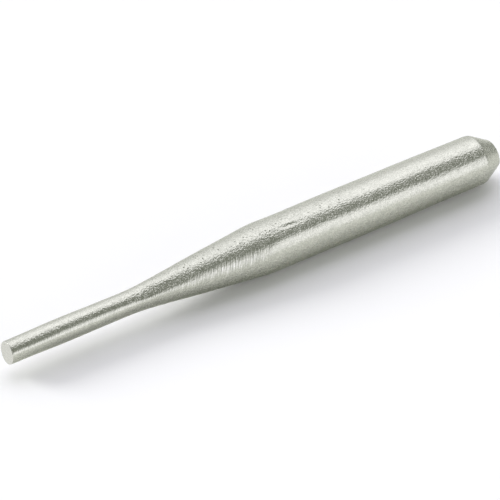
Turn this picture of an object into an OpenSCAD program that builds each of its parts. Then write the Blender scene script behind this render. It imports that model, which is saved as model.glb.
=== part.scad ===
// Pin punch, made from one solid bar.
// Its axis is X. The origin is the centre of the tip's flat face, and the struck head points to +X.

/* [Pin] */
// Diameter of the pin
pin_d = 6; // [4:0.5:8]
// Length of the pin, from its tip to the corner of the taper
pin_l = 37; // [25:0.5:60]
// Radius of the round edge of the tip
tip_edge_r = 0.2; // [0.1:0.05:0.8]

/* [Taper] */
// Length of the taper, from the corner at the pin to the corner at the shank
taper_l = 34.5; // [30:0.5:60]
// Radius of the hollow blend from the pin into the taper
neck_r = 75; // [20:1:90]
// Radius of the round blend from the taper into the shank
shoulder_r = 50; // [20:1:80]

/* [Shank] */
// Diameter of the straight part of the shank
shank_d = 13; // [12:0.5:16]
// Length of the straight part of the shank
straight_l = 22.5; // [10:0.5:50]
// Length of the part of the shank that narrows towards the head
draft_l = 39.2; // [20:0.1:80]
// Diameter of the shank where the head's chamfer starts
shank_end_d = 12.3; // [10:0.1:12.8]

/* [Struck head] */
// Length of the head's chamfer along the axis
chamfer_l = 4.8; // [3:0.1:8]
// Diameter of the flat struck face, to the corner of the chamfer
face_d = 6.8; // [5:0.1:8]
// Radius of the round edge where the shank meets the chamfer
chamfer_edge_r = 1.6; // [0.2:0.1:2.5]
// Radius of the round edge of the struck face
face_edge_r = 0.6; // [0.2:0.1:1.5]

/* [Hidden] */

// Steps round the axis
turn_steps = 128;
// Steps round a full circle of a blend
blend_steps = 720;
// How far a blend's circle is pushed past its tangents, so that it cuts them cleanly
blend_overlap = 0.0005;
// How far a blend's corner piece reaches past the corner, as a share of its tangents' length
corner_reach_share = 0.3;

overall_l = pin_l + taper_l + straight_l + draft_l + chamfer_l;

// Stations along the axis, measured from the middle of the punch
tip_x = -overall_l / 2;
neck_x = tip_x + pin_l;
shoulder_x = neck_x + taper_l;
draft_x = shoulder_x + straight_l;
chamfer_x = draft_x + draft_l;
face_x = chamfer_x + chamfer_l;

// Sharp corners of half the profile, as radius and station, from the tip to the struck face
corners = [
    [0, tip_x],
    [pin_d / 2, tip_x],
    [pin_d / 2, neck_x],
    [shank_d / 2, shoulder_x],
    [shank_d / 2, draft_x],
    [shank_end_d / 2, chamfer_x],
    [face_d / 2, face_x],
    [0, face_x]
];

// Where the blends sit in the list of corners
tip_corner = 1;
neck_corner = 2;
shoulder_corner = 3;
chamfer_corner = 5;
face_corner = 6;

function unit(v) = v / norm(v);

// Directions of the outline into and out of a corner
function way_in(i) = unit(corners[i] - corners[i - 1]);
function way_out(i) = unit(corners[i + 1] - corners[i]);

// Side that a corner turns to: 1 where the outline is round, -1 where it is hollow
function side(i) = sign(cross(way_in(i), way_out(i)));

// Length from a corner to where a blend of radius r touches its two sides
function tangent_l(i, r) = r * tan(acos(way_in(i) * way_out(i)) / 2);

// Centre of a blend: inside the outline at a round corner, outside it at a hollow one
function blend_centre(i, r) =
    corners[i] - way_in(i) * tangent_l(i, r) + side(i) * r * [-way_in(i).y, way_in(i).x];

// Direction from a blend's centre to its corner
function to_corner(i, r) = unit(corners[i] - blend_centre(i, r));

// A blend's two tangent points, with a point between them that lies out of the metal
function corner_points(i, r) = [
    corners[i] - way_in(i) * tangent_l(i, r),
    corners[i] + to_corner(i, r) * side(i) * tangent_l(i, r) * corner_reach_share,
    corners[i] + way_out(i) * tangent_l(i, r)
];

// Disc that gives a blend its arc
module blend_disc(i, r) {
    translate(blend_centre(i, r) + to_corner(i, r) * blend_overlap)
        circle(r = r, $fn = blend_steps);
}

// What a blend takes off a round corner
module round_cut(i, r) {
    difference() {
        polygon(corner_points(i, r));
        blend_disc(i, r);
    }
}

// Half of the lengthwise section of the punch, with the neck filled and cut back to its arc
module half_profile() {
    difference() {
        polygon([
            for (i = [0 : len(corners) - 1])
                each i == neck_corner ? corner_points(i, neck_r) : [corners[i]]
        ]);
        blend_disc(neck_corner, neck_r);
        round_cut(tip_corner, tip_edge_r);
        round_cut(shoulder_corner, shoulder_r);
        round_cut(chamfer_corner, chamfer_edge_r);
        round_cut(face_corner, face_edge_r);
    }
}

// The whole tool: pin, taper, shank and struck head in one piece
module punch() {
    color([0.74, 0.75, 0.70])
        translate([overall_l / 2, 0, 0])
            rotate([0, 90, 0])
                rotate_extrude($fn = turn_steps)
                    half_profile();
}

punch();
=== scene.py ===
"""Pin punch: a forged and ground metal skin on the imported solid, on a pale floor in soft studio light."""
import math
from types import SimpleNamespace

import bpy
import numpy as np
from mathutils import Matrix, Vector, noise


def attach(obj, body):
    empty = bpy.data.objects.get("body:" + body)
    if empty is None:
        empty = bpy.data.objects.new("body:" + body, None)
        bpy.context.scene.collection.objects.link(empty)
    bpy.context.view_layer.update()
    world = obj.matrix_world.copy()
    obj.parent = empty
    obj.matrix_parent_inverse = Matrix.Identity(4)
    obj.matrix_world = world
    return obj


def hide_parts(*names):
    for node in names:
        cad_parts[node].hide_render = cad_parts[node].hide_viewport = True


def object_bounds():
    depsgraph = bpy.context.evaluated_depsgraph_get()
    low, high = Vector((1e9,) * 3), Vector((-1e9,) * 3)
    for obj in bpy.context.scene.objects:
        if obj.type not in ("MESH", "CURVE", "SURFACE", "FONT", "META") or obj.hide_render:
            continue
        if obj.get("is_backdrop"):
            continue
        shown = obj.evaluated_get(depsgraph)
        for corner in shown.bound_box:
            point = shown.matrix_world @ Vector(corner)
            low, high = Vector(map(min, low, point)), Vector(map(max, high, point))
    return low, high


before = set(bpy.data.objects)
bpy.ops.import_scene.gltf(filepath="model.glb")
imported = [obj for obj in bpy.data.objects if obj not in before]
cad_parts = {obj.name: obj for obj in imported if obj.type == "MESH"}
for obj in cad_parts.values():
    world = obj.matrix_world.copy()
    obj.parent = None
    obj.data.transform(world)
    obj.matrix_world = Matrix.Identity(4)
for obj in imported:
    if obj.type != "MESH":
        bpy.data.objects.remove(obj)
CAD_LOW, CAD_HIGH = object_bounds()

MM = 0.001
HALF = 0.5
WHOLE = (0.0, 1.0)
NODE = "punch"
BODY = "root"
LENGTH = CAD_HIGH.x - CAD_LOW.x

# Camera: where it stands round the middle of the punch, and what it takes in there
CAMERA_AZIMUTH = math.radians(-33.75)
CAMERA_ELEVATION = math.radians(38.13)
CAMERA_DISTANCE = 2.7
VIEW_WIDTH = 118.34 * MM
AIM_LEFT = 0.45 * MM
AIM_UP = 0.44 * MM
SENSOR_WIDTH = 36.0
CLIP_SHARES = (0.1, 10.0)

# Mesh: rings along the outline, and points round each ring from the front over the top
RING_STEP = 0.25 * MM
RINGS_PER_RADIAN = 9.0
POINTS_ROUND = 160
STATION_DIGITS = 7

# Flat map: strips along the punch, which lie over each other with a gap between them
UV_NAME = "OFBake"
MAP_STRIPS = 2
MAP_FILL_SHARE = 0.98

# Smoothing of the solid's short flats, between the tip and the head
FINE_STEP = 0.1 * MM
SMOOTH_REACH = 1.5 * MM
SMOOTH_SHARES = (0.02, 0.94)

# Swell of the hand ground sides, as shares of the length and of the largest swell
SWELL = 0.12 * MM
SWELL_PLACE_SHARES = (0.0, 0.03, 0.10, 0.23, 0.31, 0.39, 0.48, 0.56, 0.70, 0.80, 1.0)
SWELL_AMOUNT_SHARES = (-1.0, -0.9, 0.3, -0.75, -0.1, 0.75, 0.5, -0.55, -0.25, 0.0, 0.0)

# Way to the lower front, as a turn from the front over the top
LOW_TURN = math.radians(-45.75)
LOW_WAY = Vector((0.0, -math.cos(LOW_TURN), math.sin(LOW_TURN)))

# Bow of the axis towards the lower front, as shares of the length and of the largest bow
BOW = 0.09 * MM
BOW_PLACE_SHARES = (0.0, 0.06, 0.26, 0.36, 0.48, 0.56, 0.64, 0.75, 0.86, 0.95, 1.0)
BOW_AMOUNT_SHARES = (0.0, -0.4, -0.4, -0.3, -0.3, 1.0, 0.4, 0.3, -0.6, -0.7, 0.2)

# End faces, a little out of square and domed. A lean above 0 moves the lower front of a face along +X.
TIP_LEAN = math.radians(-4.5)
HEAD_LEAN = math.radians(3.0)
LEAN_REACH = 5.0 * MM
FACE_DOME = 0.08 * MM
DOME_REACH = 3.0 * MM

# Lumps of the forged skin, broad and small, and the grain on them: width and height
BROAD_LUMP = (8.0 * MM, 0.04 * MM)
SMALL_LUMP = (2.2 * MM, 0.009 * MM)
MESH_GRAIN = (0.55 * MM, 0.022 * MM)

# How strong the lumps are along the punch, as shares of its length and of their height
LUMP_PLACE_SHARES = (0.0, 0.22, 0.32, 0.52, 0.60, 0.95, 1.0)
LUMP_AMOUNT_SHARES = (0.35, 0.45, 1.0, 1.0, 0.45, 0.45, 0.4)

# The grain is coarser along the top and the lower side. The edges are heights over the axis, as shares of
# the radius.
TOP_EDGE_SHARES = (0.66, 0.82)
LOW_EDGE_SHARES = (0.0, 0.35)
LOW_GRAIN_SHARE = 0.9
FRONT_GRAIN_SHARE = 0.3

# Hollow that the forging left in the top of the pin and the neck, with a low ridge under it.
# On the shank it is the other way round.
HOLLOW_PLACE_SHARES = (0.0, 0.03, 0.13, 0.24, 0.28, 0.34, 0.39, 0.50, 0.56, 0.62, 0.70, 0.78, 0.85, 1.0)
HOLLOW_AMOUNT_SHARES = (0.8, 0.8, 0.3, 0.45, 1.4, 0.9, 0.0, 0.0, -0.9, -0.8, -0.45, -0.4, 0.0, 0.0)
HOLLOW_EDGE_TURN = math.radians(34.0)
HOLLOW_WIDTH_PLACE_SHARES = (0.24, 0.31)
HOLLOW_WIDTHS = np.radians((35.0, 20.0))
RIDGE_PLACE_SHARES = (0.39, 0.53)
RIDGE_WIDTHS = np.radians((13.0, 28.0))
HOLLOW_SLOPE = 0.5 * MM

# Dents, most of them along the top: count, spread round the punch, width and depth
DENT_SEED = 7
DENT_COUNT = 900
DENT_PLACE_SHARES = (0.22, 0.96)
DENT_TURN = math.radians(85.0)
DENT_SPREAD = math.radians(38.0)
DENT_REACH = (0.4 * MM, 0.85 * MM)
DENT_DEPTH_SHARES = (0.004, 0.018)

# Nicks in the top of the shank, and a crest where the ground taper ends: share of the length, turn, lean,
# length, width and height
LONG_MARKS = (
    (0.564, math.radians(67), math.radians(-5), 6.6 * MM, 0.62 * MM, -0.2 * MM),
    (0.574, math.radians(83), math.radians(-25), 1.4 * MM, 0.50 * MM, -0.07 * MM),
    (0.590, math.radians(67), math.radians(50), 1.2 * MM, 0.50 * MM, -0.12 * MM),
    (0.519, math.radians(27), math.radians(35), 9.0 * MM, 2.0 * MM, 0.045 * MM),
)

# Metal: colours, and roughness
METAL_LIGHT = (0.57, 0.58, 0.495, 1.0)
METAL_DARK = (0.455, 0.465, 0.395, 1.0)
# Dark colour in the pits, also used as painted shade on the lower side of the pin and the neck
PIT_DARK_AND_PAINTED_SHADE_COLOUR = (0.25, 0.255, 0.215, 1.0)
FRESH_COLOUR = (0.70, 0.705, 0.635, 1.0)
FACE_COLOUR = (0.65, 0.65, 0.59, 1.0)
EDGE_TINT = (0.88, 0.89, 0.85, 1.0)
ROUGHNESS = (0.2, 0.3)

# From here to the studio light, sizes and heights are in millimetres. Starts, ends and runs are shares of
# the punch's length, and edges are heights over the axis as shares of the radius.

# Bare metal of the tip's face: where it fades, behind the face
FACE_FADE = (0.0, 0.16)

# Blasted grain, coarse and fine, and its share on the pin
GRAIN_SIZE = 0.42
GRAIN_DETAIL = 1.5
GRAIN_HEIGHT = 0.16
GRAIN_RANGE = (-0.3, 0.3)
FINE_SIZE = 0.24
FINE_HEIGHT = 0.03
PIN_END_SHARES = (0.203, 0.290)
PIN_GRAIN_SHARE = 0.62

# Neck, where the coarse top reaches lower
NECK_START_SHARES = (0.217, 0.268)
NECK_END_SHARES = (0.319, 0.406)
NECK_REACH_SHARE = 0.13

# Crest along the top, where the grain gets calmer towards the head
CREST_EDGE_SHARES = (0.82, 0.93)
CALM_RUN_SHARES = (0.493, 0.797)
CALM_GRAIN_SHARES = (0.95, 0.42)

# Speckle from dark to light: its noise, the range of that, also on the lower side, and what is added to it
SPECKLE_SIZE = 2.0
SPECKLE_DETAIL = 3.0
SPECKLE_ROUGHNESS = 1.0
SPECKLE_RANGE = (0.3, 0.7)
SPECKLE_LOW_RANGE = (0.4, 0.6)
SPECKLE_FINE_SHARE = 1.8
SPECKLE_STREAK_SHARE = 2.8
SPECKLE_GROUND_SHARE = -0.08

# Grinding marks on the flank of the taper, and their shares on the pin, on the top and on the lower side
STREAK_SIZE = 0.27
STREAK_LENGTH = 3.2
STREAK_SLANT = 0.33
STREAK_HEIGHT = 0.1
STREAK_ROUGHNESS = 0.04
STREAK_START_SHARES = (0.232, 0.435)
STREAK_END_SHARES = (0.478, 0.536)
STREAK_PIN_SHARE = 0.3
STREAK_TOP_SHARE = 0.3
STREAK_LOW_EDGE_SHARES = (0.1, 0.3)
STREAK_LOW_SHARE = 0.3

# Fresh metal on the crests of the grinding marks, low on the flank
SHINE_RANGE = (0.01, 0.14)
SHINE_EDGE_SHARES = (0.42, 0.7)

# Pits along the top, in patches, and their shares on the front and on the pin
PIT_SIZE = 0.75
PIT_REACH_SHARE = 0.36
PIT_DEPTH = 0.1
PIT_PATCH_SIZE = 3.0
PIT_PATCH_RANGE = (0.38, 0.6)
PIT_FRONT_SHARE = 0.15
PIT_PIN_SHARE = 0.3

# Painted shade: a dark colour on the lower side of the pin and the neck
PAINTED_SHADE_SHARE = 0.45
PAINTED_SHADE_EDGE_SHARES = (-0.15, 0.45)
PAINTED_SHADE_START_SHARES = (0.0145, 0.101)
PAINTED_SHADE_END_SHARES = (0.246, 0.522)

# Studio light: levels of the panels and the room, where 1 is white
ROOM_LEVEL = 0.32
ROOM_COLOUR = (0.96, 1.0, 0.92, 1.0)
PANEL_COLOUR = (1.03, 1.0, 1.14, 1.0)
FRONT_LEVEL = 1.3
OVERHEAD_LEVEL = 1.38

# Edges of the panels, as degrees from the front horizon over the top
FRONT_EDGE = (44.0, 29.0)
OVERHEAD_FRONT_EDGE = (76.0, 95.0)
OVERHEAD_BACK_EDGE = (116.0, 165.0)
OVERHEAD_BACK_SHARE = 0.5

# How the front panel's edge drops towards the tip, in degrees, and how the panels fade at both ends:
# by the part of a direction that points along the punch, from -1 past the tip to 1 past the head
FRONT_TILT = 25.0
FRONT_TILT_FROM = 0.43
TIP_FADE_EDGE = (0.1, -0.4)
TIP_FADE_SHARE = 0.2
FRONT_FADE_EDGE = (0.42, 0.2)
FRONT_FADE_SHARE = 0.7
HEAD_FADE_EDGE = (0.6, 0.93)
HEAD_FADE_SHARE = 0.15

# Key lamp behind the tip: its direction, width and share of the floor's light
KEY_AZIMUTH = math.radians(220.0)
KEY_ELEVATION = math.radians(28.0)
KEY_WIDTH = math.radians(28.0)
KEY_FLOOR_SHARE = 0.27

# Floor
FLOOR_RADIUS = 6.0
FLOOR_POINTS = 128
FLOOR_COLOUR = (0.97, 0.97, 0.96, 1.0)


def smooth_between(places, marks, values):
    """Values at places, eased from mark to mark."""
    places = np.asarray(places)
    marks, values = np.asarray(marks), np.asarray(values)
    right = np.clip(np.searchsorted(marks, places), 1, len(marks) - 1)
    share = np.clip((places - marks[right - 1]) / (marks[right] - marks[right - 1]), 0, 1)
    rise = share * share * (3 - 2 * share)
    return values[right - 1] + (values[right] - values[right - 1]) * rise


def cad_outline():
    """Stations and radii of the solid, from the tip to the struck face."""
    points = np.array([v.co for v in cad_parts[NODE].data.vertices])
    stations = np.round(points[:, 0], STATION_DIGITS)
    radii = np.hypot(points[:, 1], points[:, 2])
    places = np.unique(stations)
    return places, np.array([radii[stations == place].max() for place in places])


def softened_outline():
    """The solid's outline with its blends smoothed, and its tip and head as they are."""
    places, radii = cad_outline()
    first, last = (CAD_LOW.x + share * LENGTH for share in SMOOTH_SHARES)
    even = np.arange(first - SMOOTH_REACH, last + SMOOTH_REACH, FINE_STEP)
    half_width = round(SMOOTH_REACH / FINE_STEP)
    kernel = np.hanning(2 * half_width + 1)
    smooth = np.convolve(np.interp(even, places, radii), kernel / kernel.sum(), "same")
    inner = (even > first) & (even < last)
    outer = (places <= first) | (places >= last)
    all_places = np.concatenate([places[outer], even[inner]])
    all_radii = np.concatenate([radii[outer], smooth[inner]])
    order = np.argsort(all_places)
    return all_places[order], all_radii[order]


def ring_outline():
    """Rings along the outline, closer together where it turns: stations, radii, normals and run shares."""
    places, radii = softened_outline()
    path_x = np.concatenate([places[:1], places, places[-1:]])
    path_r = np.concatenate([[0], radii, [0]])
    steps = np.stack([np.diff(path_x), np.diff(path_r)], 1)
    run = np.concatenate([[0], np.cumsum(np.linalg.norm(steps, axis=1))])
    heading = np.arctan2(steps[:, 1], steps[:, 0])
    turned = np.concatenate([[0], np.cumsum(np.abs(np.diff(heading)))])
    middle = (run[1:] + run[:-1]) / 2
    count = run / RING_STEP + np.interp(run, middle, turned) * RINGS_PER_RADIAN
    rings = np.interp(np.linspace(0, count[-1], round(count[-1]) + 1), count, run)[1:-1]
    angle = np.interp(rings, middle, heading)
    normals = np.stack([-np.sin(angle), np.cos(angle)], 1)
    return np.interp(rings, run, path_x), np.interp(rings, run, path_r), normals, rings / run[-1]


def noise_field(points, lump):
    """Smooth lumps of a width and a height."""
    width, height = lump
    values = [noise.noise(point) for point in (points.reshape(-1, 3) / width).tolist()]
    return height * np.reshape(values, points.shape[:2])


def around_from(angles, turn):
    """Angles from a turn, the short way round."""
    return (angles - turn + math.pi) % (2 * math.pi) - math.pi


def bowl(distance):
    """A smooth round hollow, 1 in its middle and 0 from a distance of 1 on."""
    return np.clip(1 - distance * distance, 0, 1) ** 2


def hollow_heights(shares, angles):
    """A shallow hollow in the top of the pin and the neck, and the low ridge under it."""
    along = smooth_between(shares, HOLLOW_PLACE_SHARES, HOLLOW_AMOUNT_SHARES)
    around = around_from(angles, HOLLOW_EDGE_TURN)
    hollow = smooth_between(shares, HOLLOW_WIDTH_PLACE_SHARES, HOLLOW_WIDTHS)
    ridge = smooth_between(shares, RIDGE_PLACE_SHARES, RIDGE_WIDTHS)
    width = np.where(around > 0, hollow[:, None], ridge[:, None])
    wave = around * np.exp(-(around / width) ** 2 / 2)
    return -HOLLOW_SLOPE * along[:, None] * wave


def dent_heights(stations, radii, angles):
    """Small round dents, most of them along the top."""
    draw = np.random.default_rng(DENT_SEED)
    heights = np.zeros((len(stations), len(angles)))
    for _ in range(DENT_COUNT):
        place = CAD_LOW.x + LENGTH * draw.uniform(*DENT_PLACE_SHARES)
        turn = draw.normal(DENT_TURN, DENT_SPREAD)
        reach = draw.uniform(*DENT_REACH)
        depth = reach * draw.uniform(*DENT_DEPTH_SHARES)
        rows = slice(*np.searchsorted(stations, (place - reach, place + reach)))
        along = (stations[rows] - place)[:, None]
        around = np.interp(place, stations, radii) * around_from(angles, turn)
        heights[rows] -= depth * bowl(np.hypot(along, around) / reach)
    return heights


def long_mark_heights(stations, radii, angles):
    """Short grooves that blows and a vice have left, and the crest where the ground taper ends."""
    heights = np.zeros((len(stations), len(angles)))
    for share, turn, lean, length, width, height in LONG_MARKS:
        place = CAD_LOW.x + LENGTH * share
        along = (stations - place)[:, None]
        around = np.interp(place, stations, radii) * around_from(angles, turn)
        down = along * math.cos(lean) + around * math.sin(lean)
        across = around * math.cos(lean) - along * math.sin(lean)
        heights += height * bowl(2 * down / length) * bowl(across / width)
    return heights


def skin_points():
    """Points of the skin, ring by ring from the tip to the struck face, and the rings' run shares."""
    stations, radii, normals, runs = ring_outline()
    shares = (stations - CAD_LOW.x) / LENGTH
    side = np.clip(normals[:, 1], 0, 1)
    radii = radii + side * SWELL * smooth_between(shares, SWELL_PLACE_SHARES, SWELL_AMOUNT_SHARES)
    angles = np.linspace(0, 2 * math.pi, POINTS_ROUND, endpoint=False)
    round_way = np.stack([np.zeros_like(angles), -np.cos(angles), np.sin(angles)], 1)
    along_way = np.array([1.0, 0.0, 0.0])
    points = stations[:, None, None] * along_way + radii[:, None, None] * round_way
    ways = normals[:, 0, None, None] * along_way + normals[:, 1, None, None] * round_way
    lumps = noise_field(points, BROAD_LUMP) + noise_field(points, SMALL_LUMP)
    lumps *= smooth_between(shares, LUMP_PLACE_SHARES, LUMP_AMOUNT_SHARES)[:, None]
    grain = noise_field(points, MESH_GRAIN)
    grain *= smooth_between(np.sin(angles), TOP_EDGE_SHARES, (FRONT_GRAIN_SHARE, 1.0))
    marks = dent_heights(stations, radii, angles) + long_mark_heights(stations, radii, angles)
    marks += hollow_heights(shares, angles)
    dome = FACE_DOME * bowl(radii / DOME_REACH) * (1 - side)
    heights = (lumps + grain + marks) * (side ** 2)[:, None] + dome[:, None]
    points = points + ways * heights[:, :, None]
    return bent(points, stations, shares), runs


def bent(points, stations, shares):
    """The points with the axis bowed a little and the end faces out of square."""
    low = points @ np.array(LOW_WAY)
    bow = BOW * smooth_between(shares, BOW_PLACE_SHARES, BOW_AMOUNT_SHARES)
    ends = (CAD_LOW.x, CAD_LOW.x + LEAN_REACH, CAD_HIGH.x - LEAN_REACH, CAD_HIGH.x)
    lean = smooth_between(stations, ends, np.tan((TIP_LEAN, 0.0, 0.0, HEAD_LEAN)))
    points = points + bow[:, None, None] * np.array(LOW_WAY)
    points[:, :, 0] += lean[:, None] * low
    return points


def skin_faces(rings):
    """Faces between the rings, and the two fans that close the ends."""
    tip, head = rings * POINTS_ROUND, rings * POINTS_ROUND + 1
    last = (rings - 1) * POINTS_ROUND
    faces = []
    for k in range(POINTS_ROUND):
        n = (k + 1) % POINTS_ROUND
        faces.append((tip, k, n))
        for low in range(0, last, POINTS_ROUND):
            high = low + POINTS_ROUND
            faces.append((low + k, high + k, high + n, low + n))
        faces.append((last + k, head, last + n))
    return faces


def map_bands(runs):
    """The strip of the flat map that each band of faces lies in, and where its two edges lie there."""
    edges = np.concatenate([[0], runs, [1]])
    strips = np.arange(len(edges) - 1) * MAP_STRIPS // (len(edges) - 1)
    bands = []
    for strip in range(MAP_STRIPS):
        inside = np.flatnonzero(strips == strip)
        start, end = edges[inside[0]], edges[inside[-1] + 1]
        for band in inside:
            bands.append((strip, *((edges[band:band + 2] - start) / (end - start)).tolist()))
    return bands


def skin_map(runs):
    """Places of the faces' corners on the flat map: along the punch, and round it."""
    first_band, *side_bands, last_band = map_bands(runs)
    corners = []

    def across(strip, turn):
        return (strip + MAP_FILL_SHARE * turn / POINTS_ROUND) / MAP_STRIPS

    for k in range(POINTS_ROUND):
        strip, near, far = first_band
        low, middle, high = (across(strip, turn) for turn in (k, k + HALF, k + 1))
        corners += [(near, middle), (far, low), (far, high)]
        for strip, near, far in side_bands:
            low, high = across(strip, k), across(strip, k + 1)
            corners += [(near, low), (far, low), (far, high), (near, high)]
        strip, near, far = last_band
        low, middle, high = (across(strip, turn) for turn in (k, k + HALF, k + 1))
        corners += [(near, low), (far, middle), (near, high)]
    return corners


def punch_skin():
    """The punch as one closed mesh."""
    grid, runs = skin_points()
    ends = [grid[0].mean(0), grid[-1].mean(0)]
    points = np.concatenate([grid.reshape(-1, 3), ends])
    mesh = bpy.data.meshes.new("punch_skin")
    mesh.from_pydata(points.tolist(), [], skin_faces(len(grid)))
    mesh.polygons.foreach_set("use_smooth", [True] * len(mesh.polygons))
    corners = np.array(skin_map(runs), dtype=np.float32)
    mesh.uv_layers.new(name=UV_NAME).uv.foreach_set("vector", corners.ravel())
    mesh.update()
    skin = bpy.data.objects.new("punch_skin", mesh)
    bpy.context.scene.collection.objects.link(skin)
    return skin


def link(tree, source, target):
    """Joins two sockets."""
    tree.links.new(source, target)


def set_input(tree, socket, value):
    """Links a socket to an input, or sets a number or a colour on it."""
    if isinstance(value, bpy.types.NodeSocket):
        link(tree, value, socket)
    else:
        socket.default_value = value


def add_node(tree, kind, **inputs):
    """A new node, with sockets linked and numbers set on the inputs that are named."""
    node = tree.nodes.new(kind)
    for name, value in inputs.items():
        set_input(tree, node.inputs[name.replace("_", " ")], value)
    return node


def math_node(tree, operation, *values):
    """The result of a Math node on sockets and numbers."""
    node = tree.nodes.new("ShaderNodeMath")
    node.operation = operation
    for socket, value in zip(node.inputs, values):
        set_input(tree, socket, value)
    return node.outputs["Value"]


def product(tree, first, *others):
    """The product of sockets and numbers."""
    for other in others:
        first = math_node(tree, "MULTIPLY", first, other)
    return first


def eased(tree, value, ends, low=0.0, high=1.0):
    """A value that goes smoothly from low at the first end to high at the second."""
    start, end = ends
    node = add_node(
        tree, "ShaderNodeMapRange", Value=value, From_Min=start, From_Max=end, To_Min=low, To_Max=high
    )
    node.interpolation_type = "SMOOTHSTEP"
    return node.outputs["Result"]


def mixed(tree, share, first, second):
    """A colour between two colours."""
    return add_node(tree, "ShaderNodeMixRGB", Fac=share, Color1=first, Color2=second).outputs["Color"]


def noise_value(tree, place, size, detail=1.0, roughness=HALF):
    """Noise with features of a size, about 0.5."""
    node = add_node(
        tree, "ShaderNodeTexNoise", Vector=place, Scale=1 / size, Detail=detail, Roughness=roughness
    )
    return node.outputs["Fac"]


def noise_height(tree, place, size, detail=1.0):
    """Noise with features of a size, about 0."""
    return math_node(tree, "SUBTRACT", noise_value(tree, place, size, detail), HALF)


def height_share(tree, y, z):
    """Height of a point over the axis, as a share of its radius."""
    square = math_node(tree, "MULTIPLY_ADD", z, z, product(tree, y, y))
    return math_node(tree, "DIVIDE", z, math_node(tree, "SQRT", square))


def top_share(tree, run, height):
    """How much a point is on the coarse top of the punch, from 0 to 1."""
    rises = eased(tree, run, NECK_START_SHARES, 0.0, NECK_REACH_SHARE)
    falls = eased(tree, run, NECK_END_SHARES, 0.0, -NECK_REACH_SHARE)
    reach = math_node(tree, "ADD", rises, falls)
    return eased(tree, math_node(tree, "ADD", height, reach), TOP_EDGE_SHARES)


def metal_place(tree):
    """Where a point lies: in millimetres, and as shares of the length, of the radius and of the top."""
    coords = add_node(tree, "ShaderNodeTexCoord")
    scaled = add_node(tree, "ShaderNodeMapping", Vector=coords.outputs["Object"], Scale=[1 / MM] * 3)
    place = scaled.outputs["Vector"]
    x, y, z = add_node(tree, "ShaderNodeSeparateXYZ", Vector=place).outputs
    run = math_node(tree, "DIVIDE", x, LENGTH / MM)
    height = height_share(tree, y, z)
    top = top_share(tree, run, height)
    return SimpleNamespace(place=place, x=x, y=y, z=z, run=run, height=height, top=top)


def calm_share(tree, at):
    """How much of the grain shows, from 0 to 1: less along the crest, and least of all near the head."""
    crest = eased(tree, at.run, CALM_RUN_SHARES, *CALM_GRAIN_SHARES)
    return eased(tree, at.height, CREST_EDGE_SHARES, 1.0, crest)


def ground_share(tree, at):
    """How much a point lies on the ground flank of the taper, from 0 to 1."""
    rises = eased(tree, at.run, STREAK_START_SHARES, STREAK_PIN_SHARE, 1.0)
    falls = eased(tree, at.run, STREAK_END_SHARES, 1.0, 0.0)
    under_top = eased(tree, at.top, WHOLE, 1.0, STREAK_TOP_SHARE)
    over_side = eased(tree, at.height, STREAK_LOW_EDGE_SHARES, STREAK_LOW_SHARE, 1.0)
    return product(tree, rises, falls, under_top, over_side)


def streak_height(tree, at):
    """Fine slanted grinding marks."""
    along = math_node(tree, "MULTIPLY_ADD", at.z, -STREAK_SLANT, at.x)
    stretch = STREAK_SIZE / STREAK_LENGTH
    across = product(tree, at.y, stretch)
    upward = product(tree, at.z, stretch)
    joined = add_node(tree, "ShaderNodeCombineXYZ", X=along, Y=across, Z=upward)
    return noise_height(tree, joined.outputs["Vector"], STREAK_SIZE)


def pit_depth(tree, at):
    """Small round pits in patches, 1 at the bottom of a pit."""
    cells = add_node(tree, "ShaderNodeTexVoronoi", Vector=at.place, Scale=1 / PIT_SIZE)
    pits = eased(tree, cells.outputs["Distance"], (0.0, PIT_REACH_SHARE), 1.0, 0.0)
    patches = eased(tree, noise_value(tree, at.place, PIT_PATCH_SIZE), PIT_PATCH_RANGE)
    front = eased(tree, at.top, WHOLE, PIT_FRONT_SHARE, 1.0)
    past_pin = eased(tree, at.run, PIN_END_SHARES, PIT_PIN_SHARE, 1.0)
    return product(tree, pits, patches, front, past_pin)


def metal_marks(tree, at):
    """Patterns that show in the metal's height and in its colour or roughness."""
    calm = calm_share(tree, at)
    ground = ground_share(tree, at)
    return SimpleNamespace(
        grain=noise_height(tree, at.place, GRAIN_SIZE, GRAIN_DETAIL),
        fine=noise_height(tree, at.place, FINE_SIZE),
        calm=calm,
        pits=product(tree, pit_depth(tree, at), calm),
        ground=ground,
        streaks=product(tree, streak_height(tree, at), ground),
    )


def metal_height(tree, at, marks):
    """Height of the grain, the grinding marks and the pits, in millimetres."""
    coarse = product(tree, marks.grain, GRAIN_HEIGHT)
    height = math_node(tree, "MULTIPLY_ADD", marks.fine, FINE_HEIGHT, coarse)
    flank = eased(tree, at.height, LOW_EDGE_SHARES, LOW_GRAIN_SHARE, FRONT_GRAIN_SHARE)
    around = eased(tree, at.top, WHOLE, flank, 1.0)
    past_pin = eased(tree, at.run, PIN_END_SHARES, PIN_GRAIN_SHARE, 1.0)
    height = product(tree, height, around, marks.calm, past_pin)
    height = math_node(tree, "MULTIPLY_ADD", marks.streaks, STREAK_HEIGHT, height)
    return math_node(tree, "MULTIPLY_ADD", marks.pits, -PIT_DEPTH, height)


def speckle_share(tree, at, marks):
    """How light the metal is, from 0 to 1. The lower side has more contrast."""
    speckle = noise_value(tree, at.place, SPECKLE_SIZE, SPECKLE_DETAIL, SPECKLE_ROUGHNESS)
    speckle = math_node(tree, "MULTIPLY_ADD", marks.fine, SPECKLE_FINE_SHARE, speckle)
    speckle = math_node(tree, "MULTIPLY_ADD", marks.streaks, SPECKLE_STREAK_SHARE, speckle)
    speckle = math_node(tree, "MULTIPLY_ADD", marks.ground, SPECKLE_GROUND_SHARE, speckle)
    ends = [
        eased(tree, at.height, LOW_EDGE_SHARES, low, plain)
        for low, plain in zip(SPECKLE_LOW_RANGE, SPECKLE_RANGE)
    ]
    return eased(tree, speckle, ends)


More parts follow.
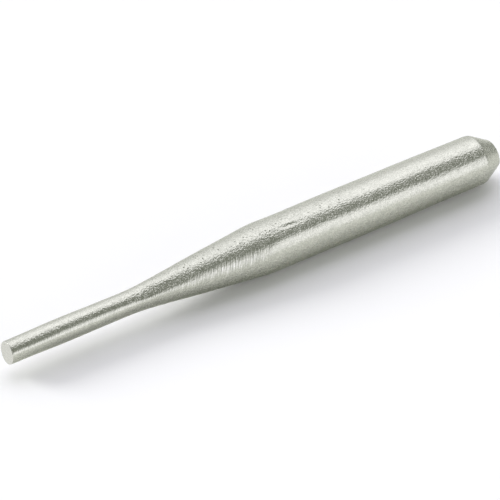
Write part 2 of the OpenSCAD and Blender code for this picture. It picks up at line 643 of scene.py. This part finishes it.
def shine_share(tree, at, marks):
    """How much fresh metal shows on the crests of the grinding marks, from 0 to 1."""
    lower = eased(tree, at.height, SHINE_EDGE_SHARES, 1.0, 0.0)
    return eased(tree, product(tree, marks.streaks, marks.ground, marks.ground, lower), SHINE_RANGE)


def painted_shade_share(tree, at):
    """How much painted shade darkens the lower side of the pin and the neck, from 0 to 1."""
    under = eased(tree, at.height, PAINTED_SHADE_EDGE_SHARES, PAINTED_SHADE_SHARE, 0.0)
    rises = eased(tree, at.run, PAINTED_SHADE_START_SHARES)
    falls = eased(tree, at.run, PAINTED_SHADE_END_SHARES, 1.0, 0.0)
    return product(tree, under, rises, falls)


def face_share(tree, at):
    """How much a point lies on the leaning face of the tip, from 0 to 1."""
    lean = math.tan(TIP_LEAN)
    level = math_node(tree, "MULTIPLY_ADD", at.y, -lean * LOW_WAY.y, at.x)
    behind = math_node(tree, "MULTIPLY_ADD", at.z, -lean * LOW_WAY.z, level)
    return eased(tree, behind, FACE_FADE, 1.0, 0.0)


def metal_colour(tree, at, marks):
    """Speckled metal: fresh on the grinding marks, dark in the pits, painted shade under the pin and the
    neck, and bare on the tip's face.
    """
    colour = mixed(tree, speckle_share(tree, at, marks), METAL_DARK, METAL_LIGHT)
    colour = mixed(tree, shine_share(tree, at, marks), colour, FRESH_COLOUR)
    # Dark in the pits, and painted shade on the lower side of the pin and the neck
    skin = math_node(tree, "MAXIMUM", marks.pits, painted_shade_share(tree, at))
    colour = mixed(tree, skin, colour, PIT_DARK_AND_PAINTED_SHADE_COLOUR)
    return mixed(tree, face_share(tree, at), colour, FACE_COLOUR)


def punch_metal():
    """Satin bronze with a blasted grain, pits and grinding marks."""
    material = bpy.data.materials.new("punch_metal_look")
    material.use_nodes = True
    tree = material.node_tree
    at = metal_place(tree)
    marks = metal_marks(tree, at)
    bump = add_node(tree, "ShaderNodeBump", Height=metal_height(tree, at, marks), Distance=MM)
    rough = eased(tree, marks.grain, GRAIN_RANGE, *ROUGHNESS)
    rough = math_node(tree, "MULTIPLY_ADD", marks.ground, STREAK_ROUGHNESS, rough)
    shader = tree.nodes["Principled BSDF"]
    shader.inputs["Metallic"].default_value = 1.0
    shader.inputs["Specular Tint"].default_value = EDGE_TINT
    link(tree, metal_colour(tree, at, marks), shader.inputs["Base Color"])
    link(tree, rough, shader.inputs["Roughness"])
    link(tree, bump.outputs["Normal"], shader.inputs["Normal"])
    return material


def front_panel(tree, x, angle):
    """Light of the panel in front, whose edge drops towards the tip."""
    tilt = math_node(tree, "SUBTRACT", FRONT_TILT_FROM, x)
    tilted = math_node(tree, "MULTIPLY_ADD", tilt, FRONT_TILT, angle)
    light = eased(tree, tilted, FRONT_EDGE, 0.0, FRONT_LEVEL)
    return product(tree, light, eased(tree, x, FRONT_FADE_EDGE, 1.0, FRONT_FADE_SHARE))


def overhead_panel(tree, x, angle):
    """Light of the panel overhead, which is weaker at the back and towards the tip."""
    rises = eased(tree, angle, OVERHEAD_FRONT_EDGE, 0.0, OVERHEAD_LEVEL)
    falls = eased(tree, angle, OVERHEAD_BACK_EDGE, 1.0, OVERHEAD_BACK_SHARE)
    return product(tree, rises, falls, eased(tree, x, TIP_FADE_EDGE, 1.0, TIP_FADE_SHARE))


def studio_world():
    """Long soft panels overhead and in front, in a dim room."""
    world = bpy.data.worlds.new("studio")
    world.use_nodes = True
    tree = world.node_tree
    coords = add_node(tree, "ShaderNodeTexCoord")
    x, y, z = add_node(tree, "ShaderNodeSeparateXYZ", Vector=coords.outputs["Generated"]).outputs
    turn = math_node(tree, "ARCTAN2", z, math_node(tree, "SUBTRACT", 0.0, y))
    angle = math_node(tree, "DEGREES", turn)
    panels = math_node(tree, "ADD", front_panel(tree, x, angle), overhead_panel(tree, x, angle))
    panels = product(tree, panels, eased(tree, x, HEAD_FADE_EDGE, 1.0, HEAD_FADE_SHARE))
    room = add_node(tree, "ShaderNodeBackground", Color=ROOM_COLOUR, Strength=ROOM_LEVEL)
    light = add_node(tree, "ShaderNodeBackground", Color=PANEL_COLOUR, Strength=panels)
    both = add_node(tree, "ShaderNodeAddShader")
    link(tree, room.outputs[0], both.inputs[0])
    link(tree, light.outputs[0], both.inputs[1])
    link(tree, both.outputs[0], tree.nodes["World Output"].inputs["Surface"])
    bpy.context.scene.world = world


def way_to(azimuth, elevation):
    """Way from the punch to a place round it, with azimuth 0 in front and a quarter turn at the head."""
    level = math.cos(elevation)
    return Vector((math.sin(azimuth) * level, -math.cos(azimuth) * level, math.sin(elevation)))


def key_lamp():
    """Broad soft lamp behind the tip."""
    data = bpy.data.lights.new("key", "SUN")
    data.angle = KEY_WIDTH
    data.energy = math.pi * KEY_FLOOR_SHARE / math.sin(KEY_ELEVATION)
    lamp = bpy.data.objects.new("key", data)
    lamp.rotation_mode = "QUATERNION"
    lamp.rotation_quaternion = way_to(KEY_AZIMUTH, KEY_ELEVATION).to_track_quat("Z", "Y")
    bpy.context.scene.collection.objects.link(lamp)


def floor(height):
    """Pale floor under the punch."""
    mesh = bpy.data.meshes.new("floor")
    turns = [2 * math.pi * k / FLOOR_POINTS for k in range(FLOOR_POINTS)]
    rim = [(FLOOR_RADIUS * math.cos(t), FLOOR_RADIUS * math.sin(t), height) for t in turns]
    mesh.from_pydata(rim, [], [range(FLOOR_POINTS)])
    obj = bpy.data.objects.new("floor", mesh)
    bpy.context.scene.collection.objects.link(obj)
    material = bpy.data.materials.new("floor_white")
    material.use_nodes = True
    tree = material.node_tree
    diffuse = add_node(tree, "ShaderNodeBsdfDiffuse", Color=FLOOR_COLOUR)
    link(tree, diffuse.outputs[0], tree.nodes["Material Output"].inputs["Surface"])
    mesh.materials.append(material)
    obj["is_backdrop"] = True


def camera():
    """Camera at the photograph's viewing angle."""
    data = bpy.data.cameras.new("camera")
    data.sensor_width = SENSOR_WIDTH
    data.lens = SENSOR_WIDTH * CAMERA_DISTANCE / VIEW_WIDTH
    data.clip_start, data.clip_end = (share * CAMERA_DISTANCE for share in CLIP_SHARES)
    back = way_to(CAMERA_AZIMUTH, CAMERA_ELEVATION)
    right = Vector((math.cos(CAMERA_AZIMUTH), math.sin(CAMERA_AZIMUTH), 0.0))
    up = back.cross(right)
    aim = (CAD_LOW + CAD_HIGH) / 2 - right * AIM_LEFT + up * AIM_UP
    obj = bpy.data.objects.new("camera", data)
    obj.location = aim + back * CAMERA_DISTANCE
    obj.rotation_mode = "QUATERNION"
    obj.rotation_quaternion = (-back).to_track_quat("-Z", "Y")
    bpy.context.scene.collection.objects.link(obj)
    bpy.context.scene.camera = obj


bpy.context.scene.view_settings.view_transform = "Standard"
camera()
studio_world()
key_lamp()
skin = punch_skin()
skin.data.materials.append(punch_metal())
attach(skin, BODY)
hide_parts(NODE)
floor(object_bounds()[0].z)
